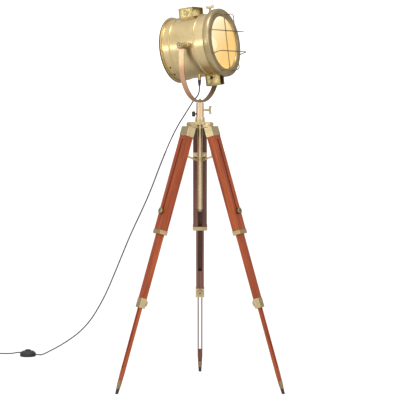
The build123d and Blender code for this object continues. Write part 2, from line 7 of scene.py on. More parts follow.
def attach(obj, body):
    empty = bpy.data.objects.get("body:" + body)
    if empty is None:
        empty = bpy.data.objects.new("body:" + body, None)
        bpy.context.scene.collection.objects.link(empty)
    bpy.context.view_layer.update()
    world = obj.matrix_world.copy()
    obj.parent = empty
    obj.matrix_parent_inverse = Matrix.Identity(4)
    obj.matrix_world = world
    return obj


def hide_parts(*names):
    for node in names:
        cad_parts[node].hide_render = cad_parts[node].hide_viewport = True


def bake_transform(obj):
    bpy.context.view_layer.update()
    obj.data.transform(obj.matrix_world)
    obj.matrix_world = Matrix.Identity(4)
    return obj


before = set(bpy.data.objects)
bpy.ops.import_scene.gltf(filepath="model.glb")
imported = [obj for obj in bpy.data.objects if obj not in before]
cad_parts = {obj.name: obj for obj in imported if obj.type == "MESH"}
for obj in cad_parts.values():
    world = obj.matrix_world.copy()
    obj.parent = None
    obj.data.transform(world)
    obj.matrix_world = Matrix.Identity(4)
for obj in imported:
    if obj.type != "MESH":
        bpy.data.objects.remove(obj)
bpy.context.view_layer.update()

# ---- The studio ----
# A lamp on a wide pale floor in a white room, lit by a small window on the left, large soft ones
# in front and above, and a weaker one on the right.
view_camera = bpy.data.objects.new("studio_camera", bpy.data.cameras.new("studio_camera"))
bpy.context.scene.collection.objects.link(view_camera)
view_camera.location = (0, -6.391, 1.062)
view_camera.rotation_euler = (math.radians(90 - 3.29), 0, 0)
view_camera.data.lens = 155.5
view_camera.data.sensor_width = 36
view_camera.data.clip_end = 60
bpy.context.scene.camera = view_camera
bpy.context.scene.view_settings.view_transform = "Standard"


def tone(red, green, blue):
    """A display colour, 0 to 255 a channel, as the linear colour that shaders use."""
    linear = []
    for channel in (red, green, blue):
        share = channel / 255
        linear.append(share / 12.92 if share < 0.04045 else ((share + 0.055) / 1.055) ** 2.4)
    return tuple(linear)


class Shade:
    """A shader value: arithmetic on it adds Math nodes to its finish."""

    def __init__(self, finish, socket):
        self.finish, self.socket = finish, socket

    def maths(self, operation, first, second=0.0):
        return self.finish.node("ShaderNodeMath", {"operation": operation}, {0: first, 1: second})

    def __add__(self, other):
        return self.maths("ADD", self, other)

    def __radd__(self, other):
        return self.maths("ADD", other, self)

    def __sub__(self, other):
        return self.maths("SUBTRACT", self, other)

    def __rsub__(self, other):
        return self.maths("SUBTRACT", other, self)

    def __mul__(self, other):
        return self.maths("MULTIPLY", self, other)

    def __rmul__(self, other):
        return self.maths("MULTIPLY", other, self)

    def __gt__(self, other):
        return self.maths("GREATER_THAN", self, other)

    def __lt__(self, other):
        return self.maths("LESS_THAN", self, other)


class Finish:
    """One material: a Principled shader with its constants, and the nodes that vary it."""

    def __init__(self, name, **constants):
        self.material = bpy.data.materials.new(name)
        self.material.use_nodes = True
        self.tree = self.material.node_tree
        self.shader = self.tree.nodes["Principled BSDF"]
        self.vary(**constants)

    def node(self, kind, settings=None, inputs=None, output=0):
        made = self.tree.nodes.new(kind)
        for name, value in (settings or {}).items():
            if name == "stops":
                ramp = made.color_ramp
                ramp.elements[0].position, ramp.elements[1].position = value[0][0], value[-1][0]
                for place, colour in value[1:-1]:
                    ramp.elements.new(place)
                for element, (place, colour) in zip(ramp.elements, value):
                    element.color = (*colour, 1)
            else:
                setattr(made, name, value)
        self.fill(made, inputs or {})
        return Shade(self, made.outputs[output])

    def fill(self, made, inputs):
        for name, value in inputs.items():
            socket = made.inputs[name]
            if isinstance(value, Shade):
                self.tree.links.new(value.socket, socket)
            elif socket.type == "RGBA" and len(value) == 3:
                socket.default_value = (*value, 1)
            else:
                socket.default_value = value

    def vary(self, **inputs):
        """Fills the shader's own sockets, named as in base_color or coat_weight."""
        names = {"ior": "IOR", "specular_ior_level": "Specular IOR Level"}
        self.fill(self.shader, {names.get(n, n.replace("_", " ").title()): v for n, v in inputs.items()})

    def place(self, turn=(0, 0, 0), scale=(1, 1, 1), shift=(0, 0, 0)):
        """The object's own coordinates, turned, then stretched."""
        spot = self.node("ShaderNodeTexCoord", output=3)
        turned = self.node("ShaderNodeMapping", {}, {"Vector": spot, "Rotation": turn, "Location": shift})
        return self.node("ShaderNodeVectorMath", {"operation": "MULTIPLY"}, {0: turned, 1: scale})

    def noise(self, spot, scale, detail=3.0, rough=0.5):
        inputs = {"Vector": spot, "Scale": scale, "Detail": detail, "Roughness": rough}
        return self.node("ShaderNodeTexNoise", {}, inputs)

    def between(self, mask, first, second):
        """first where the mask is 0, second where it is 1."""
        return self.node("ShaderNodeMix", {"data_type": "RGBA"}, {0: mask, 6: first, 7: second}, 2)

    def ramp(self, value, *stops):
        return self.node("ShaderNodeValToRGB", {"stops": stops}, {"Fac": value})

    def bump(self, height, distance, strength=0.5):
        inputs = {"Height": height, "Distance": distance, "Strength": strength}
        self.vary(normal=self.node("ShaderNodeBump", {}, inputs))


def unselect():
    if bpy.context.object and bpy.context.object.mode != "OBJECT":
        bpy.ops.object.mode_set(mode="OBJECT")
    bpy.ops.object.select_all(action="DESELECT")


paper = Finish("paper_white", base_color=tone(120, 120, 120), roughness=0.9, specular_ior_level=0.0,
               emission_color=(1, 1, 1), emission_strength=0.95)
unselect()
bpy.ops.mesh.primitive_plane_add(size=60)
studio_floor = bpy.context.object
studio_floor.name = "studio_floor"
studio_floor.data.materials.append(paper.material)
studio_floor.visible_glossy = False


def window(name, place, aim, size, power):
    """A large soft light that faces a point."""
    lamp = bpy.data.objects.new(name, bpy.data.lights.new(name, "AREA"))
    bpy.context.scene.collection.objects.link(lamp)
    lamp.data.shape, lamp.data.size, lamp.data.size_y = "RECTANGLE", *size
    lamp.data.energy = power
    lamp.location = place
    lamp.rotation_euler = (Vector(aim) - Vector(place)).to_track_quat("-Z", "Y").to_euler()


window("left_window", (-3.3, -2.3, 1.45), (0, 0, 1.2), (0.7, 0.5), 7)
window("front_window", (-1.6, -4.8, 2.9), (0, 0, 0.9), (1.6, 1.6), 26)
window("right_window", (3.0, -3.4, 2.0), (0, 0, 0.9), (0.6, 1.6), 14)
window("top_window", (-0.4, -0.8, 4.4), (0, 0.1, 0), (2.0, 1.2), 36)
world = bpy.data.worlds.new("studio_air")
bpy.context.scene.world = world
world.use_nodes = True
air = world.node_tree
look = air.nodes.new("ShaderNodeSeparateXYZ")
air.links.new(air.nodes.new("ShaderNodeTexCoord").outputs["Generated"], look.inputs[0])


def glow(axis, low, high, at_low, at_high):
    """Part of the studio's brightness, changing with one direction."""
    part = air.nodes.new("ShaderNodeMapRange")
    part.interpolation_type = "SMOOTHSTEP"
    air.links.new(look.outputs[axis], part.inputs["Value"])
    for name, value in (("From Min", low), ("From Max", high), ("To Min", at_low), ("To Max", at_high)):
        part.inputs[name].default_value = value
    return part


brightness = air.nodes.new("ShaderNodeMath")
front_glow, top_glow = glow("Y", -0.6, 0.65, 0.42, 0.0), glow("Z", 0.0, 0.9, 0.0, 0.34)
air.links.new(front_glow.outputs[0], brightness.inputs[0])
air.links.new(top_glow.outputs[0], brightness.inputs[1])
base_glow = air.nodes.new("ShaderNodeMath")
air.links.new(brightness.outputs[0], base_glow.inputs[0])
base_glow.inputs[1].default_value = 0.36
seen_glow = air.nodes.new("ShaderNodeMath")
air.links.new(base_glow.outputs[0], seen_glow.inputs[0])
air.links.new(air.nodes.new("ShaderNodeLightPath").outputs["Is Camera Ray"], seen_glow.inputs[1])
air.links.new(seen_glow.outputs[0], air.nodes["Background"].inputs["Strength"])
air.nodes["Background"].inputs["Color"].default_value = (1, 1, 1, 1)


# ---- Power cord ----
# A round black flexible cord, 5 mm thick. It leaves the drum's strain relief, lies over the yoke's
# strap, hangs beside the pole and behind the left leg, runs through a foot switch, and ends in a
# small coil and a plug.
CORD_THICK = 0.005
switch_spot, switch_aim = Vector((-0.716, 0.752, 0.012)), Vector((0.8, -0.6, 0))
coil_spot, coil_radius = Vector((-0.885, 0.846, 0)), 0.0275
coil_row = coil_spot.y - coil_radius - CORD_THICK / 2
over_strap = (-0.018, -0.01525, 1.069)
beside_column = (-0.096, 0.069, 0.9435)
from_gland = [(-0.002, -0.039, 1.120), (-0.002, -0.039, 1.104), (-0.0045, -0.034, 1.087), (-0.012, -0.024, 1.0755)]
past_strap = [(-0.024, -0.0065, 1.0625), (-0.031, 0, 1.051), (-0.041, 0.01, 1.035), (-0.058, 0.028, 1.008)]
hanging = [
    (-0.110, 0.084, 0.916), (-0.134, 0.110, 0.859), (-0.155, 0.132, 0.807), (-0.176, 0.155, 0.751),
    (-0.199, 0.179, 0.695), (-0.222, 0.203, 0.644), (-0.249, 0.231, 0.587), (-0.272, 0.255, 0.537),
    (-0.295, 0.280, 0.482), (-0.318, 0.304, 0.426), (-0.341, 0.329, 0.371), (-0.365, 0.356, 0.315),
    (-0.393, 0.385, 0.260), (-0.425, 0.419, 0.206), (-0.457, 0.452, 0.164), (-0.496, 0.491, 0.125),
    (-0.537, 0.534, 0.093), (-0.576, 0.577, 0.065), (-0.611, 0.617, 0.043), (-0.638, 0.655, 0.025),
    (-0.655, 0.688, 0.015),
]
along_floor = [(-0.774, 0.7935, 0.008), (-0.793, 0.803, 0.004), (-0.816, 0.811, 0.0026), (-0.840, coil_row, 0.0025)]

cord_black = Finish("cord_black", roughness=0.5, specular_ior_level=0.4)
cord_spot = cord_black.place()
cord_mottle = cord_black.noise(cord_spot, 60, 3)
cord_black.vary(base_color=cord_black.between(cord_mottle, tone(52, 51, 54), tone(86, 84, 88)))
cord_black.vary(roughness=cord_mottle * 0.25 + 0.38)
cord_black.bump(cord_black.noise(cord_spot, 900, 2), 0.0002, 0.4)


def spline_through(name, points):
    """A smooth curve whose control points are the route's."""
    curve = bpy.data.curves.new(name, "CURVE")
    curve.dimensions = "3D"
    spline = curve.splines.new("NURBS")
    spline.points.add(len(points) - 1)
    for point, spot in zip(spline.points, points):
        point.co = (*spot, 1)
    spline.order_u, spline.use_endpoint_u = 3, True
    spline.resolution_u = 10
    run = bpy.data.objects.new(name, curve)
    bpy.context.scene.collection.objects.link(run)
    return run


def tube_along(name, points, finish):
    """A mesh tube round the route's curve, and the points that it follows."""
    run = spline_through(name + "_line", points)
    bpy.context.view_layer.update()
    line = [v.co.copy() for v in bpy.data.meshes.new_from_object(run).vertices]
    bpy.data.objects.remove(run)
    mesh = bmesh.new()
    side = Vector((0, 1, 0))
    rings = []
    for spot, before, after in zip(line, [line[0]] + line, line[1:] + [line[-1]]):
        along = (after - before).normalized()
        side = (side - along * side.dot(along)).normalized()
        over = along.cross(side)
        ring = []
        for step in range(14):
            turn = math.tau * step / 14
            out = side * math.cos(turn) + over * math.sin(turn)
            ring.append(mesh.verts.new(spot + out * CORD_THICK / 2))
        rings.append(ring)
    for low, high in zip(rings, rings[1:]):
        for step in range(14):
            follow = (step + 1) % 14
            mesh.faces.new((low[step], low[follow], high[follow], high[step]))
    mesh.faces.new(rings[0][::-1])
    mesh.faces.new(rings[-1])
    tube = bpy.data.objects.new(name, bpy.data.meshes.new(name))
    mesh.to_mesh(tube.data)
    mesh.free()
    bpy.context.scene.collection.objects.link(tube)
    for face in tube.data.polygons:
        face.use_smooth = True
    tube.data.materials.append(finish.material)
    return tube, line


upper_cord, upper_line = tube_along("cord_from_gland", from_gland + [over_strap], cord_black)
bridge_cord, bridge_line = tube_along(
    "cord_over_strap", [over_strap] + past_strap + [(-0.082, 0.054, 0.971), beside_column], cord_black)
into_switch = [tuple(switch_spot + switch_aim * reach) for reach in (0.061, 0.041)]
long_cord, long_line = tube_along("cord_to_switch", [beside_column] + hanging + into_switch, cord_black)
for piece, nodes in ((upper_cord, "cord_upper"), (bridge_cord, "cord_bridge"), (long_cord, "cord_long")):
    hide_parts(nodes)
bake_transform(upper_cord)
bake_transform(bridge_cord)
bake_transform(long_cord)

# The put-away length: four turns, two on the floor and two on top of them, then out to the plug.
turns, steps = 4.25, 16
coil_points = []
for step in range(int(turns * steps) + 1):
    round_share = step / steps
    angle = -math.pi / 2 - math.tau * round_share
    inner = min(1, max(0, (round_share - 0.9) * 5)) - min(1, max(0, (round_share - 2.9) * 5))
    height = min(1, max(0, (round_share - 1.9) * 5))
    radius = coil_radius + CORD_THICK * (0.5 - inner)
    coil_points.append((coil_spot.x + radius * math.cos(angle), coil_spot.y + radius * math.sin(angle),
                        CORD_THICK * (0.5 + height)))
out_of_switch = [tuple(switch_spot - switch_aim * reach) for reach in (0.041, 0.055)]
tail_row = coil_spot.x - coil_radius - CORD_THICK / 2
tail = [(tail_row, coil_spot.y + 0.012, 0.006), (tail_row, coil_spot.y + 0.019, 0.003),
        (tail_row, coil_spot.y + 0.026, 0.0026)]
floor_cord = spline_through("cord_on_floor", out_of_switch + along_floor + [
    (coil_spot.x + 0.018, coil_row, CORD_THICK / 2)] + coil_points + tail)
floor_cord.data.bevel_depth = CORD_THICK / 2
floor_cord.data.bevel_resolution = 4
floor_cord.data.use_fill_caps = True
floor_cord.data.materials.append(cord_black.material)
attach(floor_cord, "hub")
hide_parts("cord_floor", "cord_coil")

# ---- Hub, column and leg castings ----
# Hub, caps, bands and spreader are cast in antique brass: a champagne metal, lightly brushed, that
# has darkened a little in patches. The column above the hub's collar is rosier. Each cap's inner face,
# towards the column, is painted dark brown and less metallic as painted shade.


def brass(name, light, dark, rough, brush=(1, 1, 1)):
    finish = Finish(name, metallic=1.0)
    spot = finish.place()
    patches = finish.noise(spot, 14, 4, 0.6)
    brushed = finish.noise(finish.place((0, 0, 0), brush), 160, 2, 0.6)
    fine = finish.noise(spot, 700, 2)
    tarnish = finish.ramp(patches, (0.35, (0, 0, 0)), (0.75, (1, 1, 1)))
    finish.vary(base_color=finish.between(tarnish, light, dark))
    finish.vary(roughness=patches * 0.14 + brushed * 0.1 + (rough - 0.12))
    finish.bump(brushed * 0.6 + fine * 0.4, 0.0001, 0.12)
    return finish


def paint(finish, *nodes):
    """Gives CAD nodes a finish in place of their plain one."""
    for name in nodes:
        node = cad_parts[name]
        if not node.material_slots:
            node.data.materials.append(None)
        for slot in node.material_slots:
            slot.material = finish.material


LEG_TURNS = {"rear": 90, "left": 210, "right": 330}
LEG_LEAN, HINGE_REACH, HINGE_HEIGHT = 17.5, 0.042, 0.975
CAP_INNER_FACE = -0.0136
CAST_LIGHT, CAST_DARK = tone(226, 206, 160), tone(184, 164, 120)
cast_brass = brass("cast_brass", CAST_LIGHT, CAST_DARK, 0.34)
band_brass = brass("band_brass", tone(232, 208, 160), tone(180, 156, 112), 0.32)
knob_brass = brass("knob_brass", tone(206, 192, 156), tone(158, 142, 106), 0.3)
pole_brass = brass("pole_brass", tone(250, 226, 180), tone(232, 206, 160), 0.24, (1, 1, 0.1))
COLLAR_TOP = 0.9935
hub_brass = brass("hub_brass", CAST_LIGHT, CAST_DARK, 0.34)
column = hub_brass.node("ShaderNodeSeparateXYZ", {}, {0: hub_brass.place()}, 2) > COLLAR_TOP
cast_hub = Shade(hub_brass, hub_brass.shader.inputs["Base Color"].links[0].from_socket)
hub_brass.vary(base_color=hub_brass.between(column * 0.85, cast_hub, tone(246, 212, 174)))
paint(hub_brass, "hub")
paint(cast_brass, "spreader_collar")
paint(pole_brass, "pole")
paint(knob_brass, "yoke_nut")


def leg_frame(azimuth, reach, out=0.0):
    """A place on a leg's middle line or out from it, with the outward and down directions there."""
    turn, lean = math.radians(azimuth), math.radians(LEG_LEAN)
    radial = Vector((math.cos(turn), math.sin(turn), 0))
    down = radial * math.sin(lean) - Vector((0, 0, math.cos(lean)))
    outward = radial * math.cos(lean) + Vector((0, 0, math.sin(lean)))
    return radial * HINGE_REACH + Vector((0, 0, HINGE_HEIGHT)) + down * reach + outward * out, outward, down


for side, azimuth in LEG_TURNS.items():
    cap_brass = brass(f"cap_brass_{side}", tone(226, 206, 160), tone(180, 160, 116), 0.34)
    place, outward, down = leg_frame(azimuth, 0)
    reach_out = cap_brass.node("ShaderNodeVectorMath", {"operation": "DOT_PRODUCT"},
                               {0: cap_brass.place(), 1: tuple(outward)}, 1) - place.dot(outward)
    # Painted shade: the cap's inner face is painted dark brown and less metallic.
    painted_shade = (reach_out < CAP_INNER_FACE) * 0.9
    cast = cap_brass.shader.inputs["Base Color"].links[0].from_socket
    cap_brass.vary(base_color=cap_brass.between(painted_shade, Shade(cap_brass, cast), tone(70, 50, 34)),
                   metallic=1 - painted_shade * 0.6)
    paint(cap_brass, f"leg_cap_{side}")
    paint(cast_brass, f"spreader_arm_{side}")
    paint(band_brass, f"leg_fittings_{side}", f"mid_ferrule_{side}")

# ---- Wooden leg sections ----
# Each leg is reddish brown hardwood under a satin varnish, with its grain running down the leg. The
# rear leg's wood is painted darker as painted shade. Each ends in a brass sleeve and a rubber foot.


SLEEVE_FOOT = 0.0195
WARM_STAIN = ((0.3, (92, 38, 18)), (0.48, (156, 68, 29)), (0.7, (194, 100, 44)))
# Painted shade: darker, greyer wood tones for the rear leg.
REAR_PAINTED_SHADE = ((0.3, (62, 38, 32)), (0.5, (108, 68, 56)), (0.72, (142, 98, 84)))


def hardwood(side, azimuth, stain):
    finish = Finish(f"hardwood_{side}", coat_weight=0.12, coat_roughness=0.3, specular_ior_level=0.3)
    lean = Matrix.Rotation(math.radians(LEG_LEAN), 3, "Y") @ Matrix.Rotation(math.radians(-azimuth), 3, "Z")
    angles = tuple(lean.to_euler())
    streaks = finish.noise(finish.place(angles, (1, 1, 0.045)), 130, 5, 0.62)
    bands = finish.noise(finish.place(angles, (1, 1, 0.06)), 28, 3, 0.5)
    pores = finish.noise(finish.place(angles, (1, 1, 0.02)), 900, 2, 0.5)
    body = finish.ramp(streaks * 0.55 + bands * 0.45,
                       *((stop, tone(*colour)) for stop, colour in stain))
    pits = finish.ramp(pores, (0.3, (1, 1, 1)), (0.42, (0, 0, 0)))
    finish.vary(base_color=finish.between(pits * 0.5, body, tone(66, 27, 16)))
    finish.vary(roughness=streaks * 0.2 + 0.32)
    finish.bump(streaks * 0.4 + pores * 0.6, 0.0002, 0.3)
    return finish


for side, azimuth in LEG_TURNS.items():
    # The rear leg takes the painted-shade tones.
    wood = hardwood(side, azimuth, REAR_PAINTED_SHADE if side == "rear" else WARM_STAIN)
    paint(wood, f"leg_upper_{side}", f"leg_mid_{side}", f"leg_lower_{side}")
    foot = Finish(f"foot_{side}", specular_ior_level=0.4)
    metal = foot.node("ShaderNodeSeparateXYZ", {}, {0: foot.place()}, 2) > SLEEVE_FOOT
    worn = foot.noise(foot.place(), 90, 3)
    sleeve = foot.between(worn, tone(186, 160, 120), tone(128, 104, 74))
    rubber = foot.between(worn, tone(38, 33, 30), tone(62, 54, 48))
    foot.vary(base_color=foot.between(metal, rubber, sleeve), metallic=metal, roughness=0.6 - metal * 0.3)
    foot.bump(foot.noise(foot.place(), 400, 2), 0.0002, 0.3)
    paint(foot, f"leg_foot_{side}")

# ---- Turned screws and knobs ----
# Brass clamping knobs with a knurled rim on the legs and the yoke. Each is turned from bar, with a
# dished face and a small dark screw in its middle. Domed screws hold the spreader's brackets.
PIVOT = Vector((0, 0, 1.262))
pan, rise = math.radians(28.8), math.radians(7.35)
ACROSS = Vector((math.sin(pan), math.cos(pan), 0))
FORWARD = Vector((math.cos(pan) * math.cos(rise), -math.sin(pan) * math.cos(rise), math.sin(rise)))
UPWARD = FORWARD.cross(ACROSS)


def in_drum(across, up, forward):
    return PIVOT + ACROSS * across + UPWARD * up + FORWARD * forward


def standing(origin, axis, sideways=None):
    """The placement that stands a piece made along z on an axis."""
    along = Vector(axis).normalized()
    side = Vector(sideways) if sideways else along.orthogonal()
    side = (side - along * side.dot(along)).normalized()
    over = along.cross(side)
    columns = Matrix((side, over, along)).transposed().to_4x4()
    return Matrix.Translation(Vector(origin)) @ columns


def settle(piece, place, finish, body, *nodes, slot=None, crease=35):
    """Puts a finished mesh in its place, gives it its finish if it has none, hangs it on its body and hides the CAD
    nodes that it stands for.
    """
    unselect()
    piece.select_set(True)
    bpy.context.view_layer.objects.active = piece
    bpy.ops.object.transform_apply(location=True, rotation=True, scale=True)
    piece.data.transform(place)
    bpy.ops.object.shade_smooth_by_angle(angle=math.radians(crease))
    if not piece.data.materials:
        piece.data.materials.append(finish.material)
    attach(piece, body)
    if nodes:
        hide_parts(*nodes)
    return piece


def turned(name, outline, sides=64, knurl=None):
    """A turned piece from its outline of height and radius, made ring by ring along z."""
    unselect()
    height, radius = outline[0]
    bpy.ops.mesh.primitive_circle_add(vertices=sides, radius=radius, location=(0, 0, 0))
    piece = bpy.context.object
    piece.name = name
    bpy.ops.object.mode_set(mode="EDIT")
    bpy.ops.mesh.select_mode(type="VERT")
    bpy.ops.mesh.select_all(action="SELECT")
    bpy.ops.transform.translate(value=(0, 0, height))
    for next_height, next_radius in outline[1:]:
        bpy.ops.mesh.extrude_region_move(TRANSFORM_OT_translate={"value": (0, 0, next_height - height)})
        growth = next_radius / radius
        bpy.ops.transform.resize(value=(growth, growth, 1), center_override=(0, 0, next_height))
        height, radius = next_height, next_radius
    bpy.ops.mesh.select_all(action="SELECT")
    bpy.ops.mesh.remove_doubles(threshold=0.00004)
    bpy.ops.mesh.normals_make_consistent(inside=False)
    bpy.ops.object.mode_set(mode="OBJECT")
    if knurl:
        low, high, depth = knurl
        for vertex in piece.data.vertices:
            spot = vertex.co
            step = round(math.atan2(spot.y, spot.x) / math.tau * sides)
            if low < spot.z < high and step % 2:
                spot.xy *= 1 - depth / spot.xy.length
    return piece


POINT = 0.00001
dark_steel = Finish("dark_steel", metallic=0.8)
dark_steel_wear = dark_steel.noise(dark_steel.place(), 300, 3)
dark_steel.vary(base_color=dark_steel.between(dark_steel_wear, tone(52, 44, 36), tone(92, 78, 60)))
dark_steel.vary(roughness=dark_steel_wear * 0.2 + 0.3)
dark_steel.bump(dark_steel_wear, 0.0001, 0.3)


def clamp_outline(radius, height, shaft=((0, POINT),)):
    """Outline of a knurled clamping knob with a dished face, closed at its back, on its shaft."""
    return [*shaft, (0, radius * 0.55), (0.0008, radius * 0.93), (0.0018, radius),
            (height - 0.0018, radius),
            (height - 0.0006, radius * 0.95), (height, radius * 0.86), (height - 0.001, radius * 0.72),
            (height - 0.0012, 0.0034), (height - 0.0012, POINT)]


UPPER_KNOB_REACH, LOWER_KNOB_REACH, BRACKET_REACH = 0.337, 0.679, 0.1158
screw_outline = [(0, 0.0031), (0.0009, 0.0029), (0.0012, 0.0022), (0.0008, 0.0016), (0.0008, POINT)]
for side, azimuth in LEG_TURNS.items():
    place, outward, down = leg_frame(azimuth, UPPER_KNOB_REACH, 0.0189)
    bolt = [(-0.0318, POINT), (-0.0318, 0.006), (-0.0313, 0.007), (-0.0291, 0.007), (-0.0291, 0.003), (-0.003, 0.003),
            (-0.003, 0.007)]
    settle(turned(f"clamp_knob_upper_{side}", clamp_outline(0.012, 0.010, bolt), 72, (0.001, 0.009, 0.0007)),
           standing(place, outward), knob_brass, f"upper_knob_{side}", f"upper_knob_{side}", slot="knob_brass")
    settle(turned(f"clamp_screw_upper_{side}", screw_outline, 24),
           standing(place + outward * 0.0088, outward), dark_steel, f"upper_knob_{side}", slot="dark_screw")
    place, outward, down = leg_frame(azimuth, LOWER_KNOB_REACH, -0.0119)
    bolt = [(-0.0066, POINT), (-0.0066, 0.0025), (0, 0.0025)]
    settle(turned(f"clamp_knob_lower_{side}", clamp_outline(0.012, 0.008, bolt), 72, (0.001, 0.007, 0.0007)),
           standing(place, -outward), knob_brass, f"lower_knob_{side}", f"lower_knob_{side}", slot="knob_brass")
    settle(turned(f"clamp_screw_lower_{side}", screw_outline, 24),
           standing(place - outward * 0.0068, -outward), dark_steel, f"lower_knob_{side}", slot="dark_screw")
screw_brass = brass("screw_brass", tone(254, 240, 204), tone(232, 212, 168), 0.26)
for side, azimuth in LEG_TURNS.items():
    place, outward, down = leg_frame(azimuth, BRACKET_REACH, -0.0135)
    for hand, across in (("a", 0.015), ("b", -0.015)):
        settle(turned(f"bracket_screw_{side}_{hand}", [(-0.0008, 0.0061), (0.0012, 0.006), (0.002, 0.0052),
                                                       (0.0025, 0.0034), (0.0026, POINT)], 32),
               standing(place + outward.cross(down) * across, -outward), screw_brass, f"leg_{side}",
               slot="brass_casting")
for side, hand in (("far", 1), ("near", -1)):
    seat = in_drum(hand * 0.14105, 0, 0)
    settle(turned(f"tilt_clamp_{side}", clamp_outline(0.013, 0.014), 80, (0.0015, 0.012, 0.0007)),
           standing(seat, ACROSS * hand), knob_brass, f"tilt_knob_{side}", f"tilt_knob_{side}", slot="knob_brass")
    settle(turned(f"tilt_screw_{side}", screw_outline, 24),
           standing(seat + ACROSS * hand * 0.0128, ACROSS * hand), dark_steel, f"tilt_knob_{side}",
           slot="dark_screw")

black_knob = Finish("black_knob", specular_ior_level=0.5)
black_grit = black_knob.noise(black_knob.place(), 260, 3)
black_knob.vary(base_color=black_knob.between(black_grit, tone(30, 26, 24), tone(58, 50, 44)))
black_knob.vary(roughness=black_grit * 0.2 + 0.3)
black_knob.bump(black_grit, 0.0002, 0.3)
settle(turned("set_knob", [(-0.0075, POINT), (-0.0075, 0.0025), (0, 0.0025), (0.0003, 0.0062), (0.001, 0.0085),
                           (0.0026, 0.01), (0.0104, 0.01), (0.012, 0.0086), (0.013, 0.006), (0.013, POINT)],
              48, (0.002, 0.011, 0.0009)),
       standing((-0.017, 0, 1.013), (-1, 0, 0)), black_knob, "column_set_knob", "column_set_knob", slot="dark_knob")


def wing_screw(name, place, finish, body):
    """A screw with a waisted boss and a flat wing that thickens towards its two rounded ends."""
    stem = turned(name + "_stem", [(-0.005, POINT), (-0.005, 0.003), (0.006, 0.003), (0.0068, 0.0048),
                                   (0.008, 0.0055),
                                   (0.0105, 0.0046), (0.013, 0.0038), (0.0155, 0.0045), (0.018, 0.0055),
                                   (0.0205, 0.005), (0.022, 0.003), (0.022, POINT)], 40)
    settle(stem, place, finish, body, slot="knob_brass")
    unselect()
    bpy.ops.mesh.primitive_cube_add(size=1, location=(0, 0, 0.0235), scale=(0.031, 0.0032, 0.011))
    wing = bpy.context.object
    wing.name = name
    bpy.ops.object.transform_apply(location=True, rotation=True, scale=True)
    bpy.ops.object.mode_set(mode="EDIT")
    bpy.ops.mesh.select_all(action="SELECT")
    bpy.ops.mesh.subdivide(number_cuts=5)
    bpy.ops.object.mode_set(mode="OBJECT")
    for vertex in wing.data.vertices:
        share = abs(vertex.co.x) / 0.0155
        vertex.co.y *= 0.9 + 0.7 * share ** 3
        vertex.co.z = 0.0235 + (vertex.co.z - 0.0235) * (0.72 + 0.28 * share) + 0.0014 * share ** 2 - 0.0014
    rounding = wing.modifiers.new("rounding", "BEVEL")
    rounding.width, rounding.segments, rounding.angle_limit = 0.0012, 3, math.radians(50)
    bpy.ops.object.modifier_apply(modifier="rounding")
    settle(wing, place, finish, body, body, slot="knob_brass")


wing_screw("column_wing", standing((0.015, 0, 1.028), (1, 0, 0), (0, 0, 1)), knob_brass, "column_wing_screw")
wing_screw("ring_wing", standing(in_drum(0, 0.114, 0.059), UPWARD, FORWARD), knob_brass, "ring_wing_screw")

# ---- Yoke ----
# A flat strap of rosy brass bent to a U, with a rounded end at each tilting knob. Its inside face,
# towards the drum, is painted dark as painted shade.
BEND_HEIGHT, BEND_INSIDE = 1.19675, 0.139
rosy_brass = Finish("rosy_brass", metallic=1.0)
strap_spot = rosy_brass.place()
strap_clouds = rosy_brass.noise(strap_spot, 18, 3, 0.6)
strap_lines = rosy_brass.noise(rosy_brass.place((0, 0, 0), (1, 1, 0.08)), 400, 2)
off_axis = rosy_brass.node("ShaderNodeVectorMath", {"operation": "DOT_PRODUCT"},
                           {0: strap_spot, 1: tuple(ACROSS)}, 1)
strap_height = rosy_brass.node("ShaderNodeSeparateXYZ", {}, {0: strap_spot}, 2)
drop = strap_height.maths("MINIMUM", strap_height - BEND_HEIGHT, 0.0)
# Painted shade: the strap's inside face, inside the bend and between the limbs, is painted dark.
inside = (off_axis * off_axis + drop * drop) < BEND_INSIDE ** 2
strap_tone = rosy_brass.between(strap_clouds, tone(252, 206, 166), tone(226, 174, 134))
rosy_brass.vary(base_color=rosy_brass.between(inside * 0.85, strap_tone, tone(116, 104, 76)))
rosy_brass.vary(roughness=strap_lines * 0.14 + 0.3)
rosy_brass.bump(strap_lines, 0.0001, 0.3)
paint(rosy_brass, "yoke")

# ---- Drum ----
# A cylinder rolled from brass sheet, with two raised beads, closed behind by a shallow spun cover
# with two dark screws. Its skin is brushed and lacquered, and has dulled unevenly.
drum_place = standing(PIVOT, FORWARD, ACROSS)
drum_turn = tuple(drum_place.to_3x3().transposed().to_euler())


def drum_brass(name, light, dark, rough):
    """Brushed sheet brass whose fine lines run round the drum."""
    finish = Finish(name, metallic=1.0)
    turned_spot = finish.node("ShaderNodeMapping", {"vector_type": "POINT"},
                              {"Vector": finish.place((0, 0, 0), (1, 1, 1), tuple(-PIVOT)), "Rotation": drum_turn})
    clouds = finish.noise(turned_spot, 11, 4, 0.6)
    lines_spot = finish.node("ShaderNodeVectorMath", {"operation": "MULTIPLY"},
                             {0: turned_spot, 1: (0.06, 0.06, 1)})
    lines = finish.noise(lines_spot, 700, 3, 0.6)
    specks = finish.noise(turned_spot, 420, 2)
    dulled = finish.ramp(clouds, (0.34, (0, 0, 0)), (0.72, (1, 1, 1)))
    finish.vary(base_color=finish.between(dulled, light, dark))
    finish.vary(roughness=clouds * 0.14 + lines * 0.05 + (rough - 0.1))
    finish.bump(lines * 0.7 + specks * 0.3, 0.0001, 0.1)
    return finish


sheet_brass = drum_brass("sheet_brass", tone(244, 220, 168), tone(212, 188, 136), 0.31)
ring_brass = drum_brass("ring_brass", tone(206, 186, 142), tone(168, 148, 106), 0.34)
